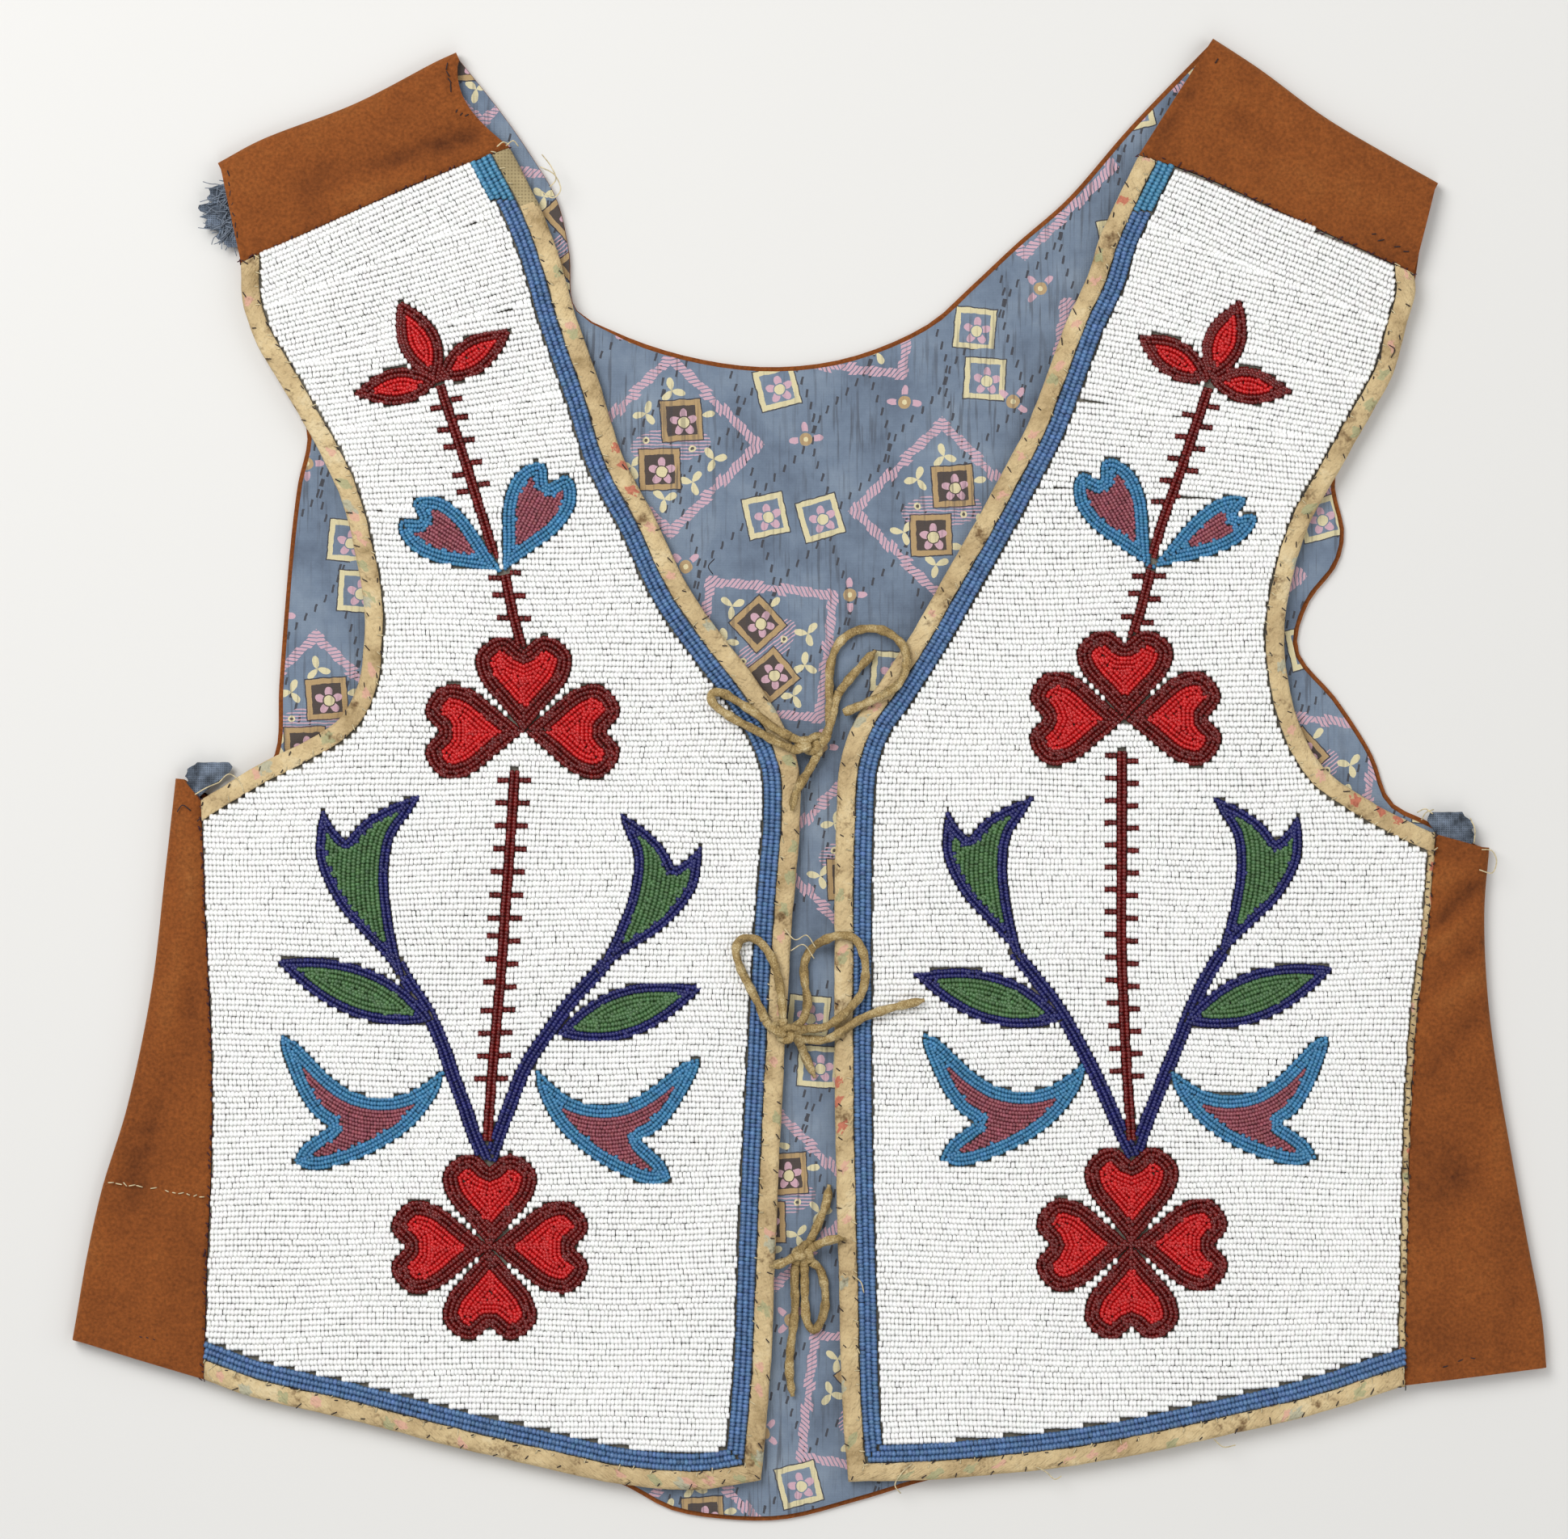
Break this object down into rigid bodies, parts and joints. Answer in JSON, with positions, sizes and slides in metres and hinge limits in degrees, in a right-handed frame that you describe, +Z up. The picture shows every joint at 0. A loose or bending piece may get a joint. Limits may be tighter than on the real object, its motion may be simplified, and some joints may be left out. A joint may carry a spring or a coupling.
{
  "type": "beaded vest",
  "caption": "Open-front adult vest laid flat, with fully beaded floral fronts, brown velvet back, printed cotton lining and binding, and leather thong ties.",
  "frame": {"origin": "on the surface that the vest lies on, under the middle of its outline", "axes": "+Z up out of the surface, through the thickness of the layers; +Y towards the neck; +X to the right as seen from above"},
  "size_m": [0.4748, 0.4773, 0.0127],
  "materials": {
    "velvet": "brown cotton velvet, rubbed along its folds",
    "lining": "slate-blue printed cotton",
    "torn_lining": "frayed printed cotton",
    "backing": "undyed cotton backing",
    "beads": "opaque seed beads sewn in rows, white with coloured motifs",
    "border_beads": "opaque blue seed beads sewn in rows",
    "calico": "cream printed calico, hand sewn, stained",
    "thong": "tan leather thong, matte"
  },
  "bodies": {
    "root": {"back_velvet": "velvet", "back_lining": "lining", "left_side_lining": "lining", "right_side_lining": "lining", "torn_lining": "torn_lining", "left_front": "backing", "right_front": "backing", "left_bead_field": "beads", "right_bead_field": "beads", "left_bead_border": "border_beads", "right_bead_border": "border_beads", "left_edge_binding": "calico", "right_edge_binding": "calico", "left_armhole_binding": "calico", "right_armhole_binding": "calico", "upper_tie_knot": "thong", "middle_tie_knot": "thong", "lower_tie_knot": "thong", "upper_tie_left_loop": "thong", "upper_tie_right_loop": "thong", "upper_tie_tail": "thong", "upper_tie_inner_end": "thong", "middle_tie_left_loop": "thong", "middle_tie_right_loop": "thong", "middle_tie_long_end": "thong", "middle_tie_short_end": "thong", "lower_tie_upper_run": "thong", "lower_tie_right_run": "thong", "lower_tie_left_run": "thong", "lower_tie_loop": "thong", "lower_tie_free_end": "thong"}
  },
  "joints": []
}
